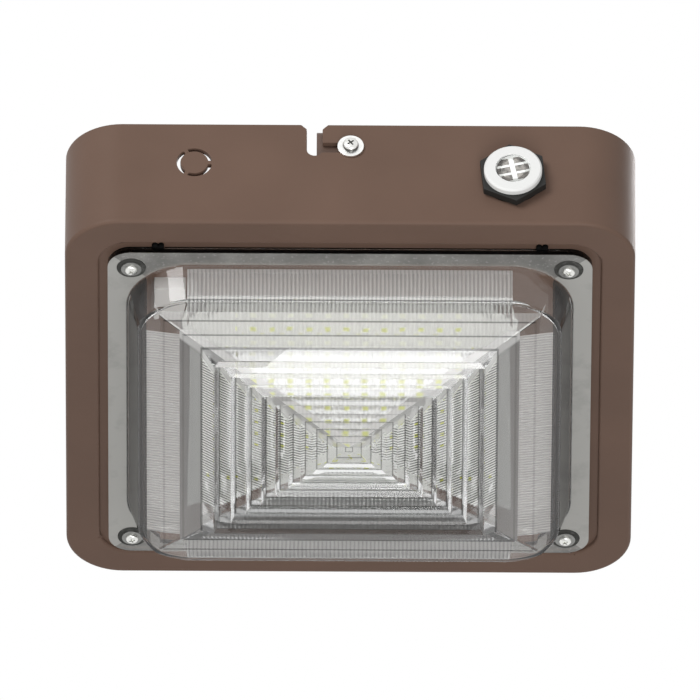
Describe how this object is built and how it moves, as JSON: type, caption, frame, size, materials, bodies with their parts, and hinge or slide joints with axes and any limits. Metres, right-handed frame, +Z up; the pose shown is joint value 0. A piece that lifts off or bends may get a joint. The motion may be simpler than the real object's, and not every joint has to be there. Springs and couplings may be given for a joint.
{
  "type": "garage ceiling light",
  "caption": "Square die-cast LED canopy light with a stepped prismatic lens, hung on a strap bracket by side screws in L-shaped slots, with a light sensor.",
  "frame": {"origin": "middle of the ceiling plane, midway between the two box screw holes on the strap's top face", "axes": "+Z up into the ceiling, so the light hangs towards -Z; -Y is the front wall with the light sensor; +X is to the right seen from the front"},
  "size_m": [0.26, 0.2721, 0.0874],
  "materials": {
    "strap_steel": "satin brown paint on pressed steel",
    "zinc_steel": "dull zinc plate",
    "ground_green": "green plated steel",
    "washer_steel": "bright zinc plate",
    "screw_steel": "bright stainless steel",
    "cast_bronze_paint": "satin bronze-brown powder coat on die-cast aluminium",
    "black_rubber": "moulded silicone rubber",
    "clear_prismatic": "clear moulded polycarbonate with prism steps",
    "pad_grey": "soft heat-conducting pad",
    "board_white": "white solder mask on a metal-core board",
    "led_phosphor": "yellow phosphor under clear resin",
    "cover_white": "white moulded plastic",
    "driver_alloy": "extruded satin aluminium",
    "black_plastic": "black moulded plastic",
    "cell_grey": "light-sensitive cell with a fine grid",
    "clear_window": "clear moulded window"
  },
  "bodies": {
    "bracket": {"mounting_strap": "strap_steel", "clinch_nuts": "zinc_steel", "ground_screw": "ground_green"},
    "fixture": {"housing": "cast_bronze_paint", "cast_ribs": "cast_bronze_paint", "cast_bosses": "cast_bronze_paint", "lens_gasket": "black_rubber", "lens": "clear_prismatic", "lens_screw_seals": "black_rubber", "lens_screw_washers": "zinc_steel", "lens_screws": "screw_steel", "thermal_pad": "pad_grey", "led_board": "board_white", "led_chips": "led_phosphor", "led_board_screws": "screw_steel", "lead_grommet": "black_rubber", "lead_cover": "cover_white", "driver_case": "driver_alloy", "driver_end_caps": "black_plastic", "driver_screws": "screw_steel", "sensor_gasket": "black_rubber", "sensor_body": "black_plastic", "sensor_locknut": "black_plastic", "sensor_cap": "cover_white", "sensor_cell": "cell_grey", "sensor_window": "clear_window"},
    "front_washer": {"lock_washer_front": "washer_steel"},
    "front_screw": {"lock_screw_front": "screw_steel"},
    "rear_washer": {"lock_washer_rear": "washer_steel"},
    "rear_screw": {"lock_screw_rear": "screw_steel"}
  },
  "joints": [
    {"name": "fixture_shift", "type": "slide", "parent": "bracket", "child": "fixture", "axis": [1, 0, 0], "range_m": [0, 0.0164]},
    {"name": "front_washer_travel", "type": "slide", "parent": "bracket", "child": "front_washer", "axis": [0, -1, 0], "range_m": [0, 0.0024]},
    {"name": "front_screw_turn", "type": "hinge", "parent": "front_washer", "child": "front_screw", "pos_m": [0, -0.13, -0.01315], "axis": [0, -1, 0], "range_deg": [0, 1080]},
    {"name": "rear_washer_travel", "type": "slide", "parent": "bracket", "child": "rear_washer", "axis": [0, 1, 0], "range_m": [0, 0.0024]},
    {"name": "rear_screw_turn", "type": "hinge", "parent": "rear_washer", "child": "rear_screw", "pos_m": [0, 0.13, -0.01315], "axis": [0, 1, 0], "range_deg": [0, 1080]}
  ],
  "couplings": [
    {"joint": "front_screw_turn", "follows": "front_washer_travel", "rad_per_m": 7853.9},
    {"joint": "rear_screw_turn", "follows": "rear_washer_travel", "rad_per_m": 7853.9}
  ]
}
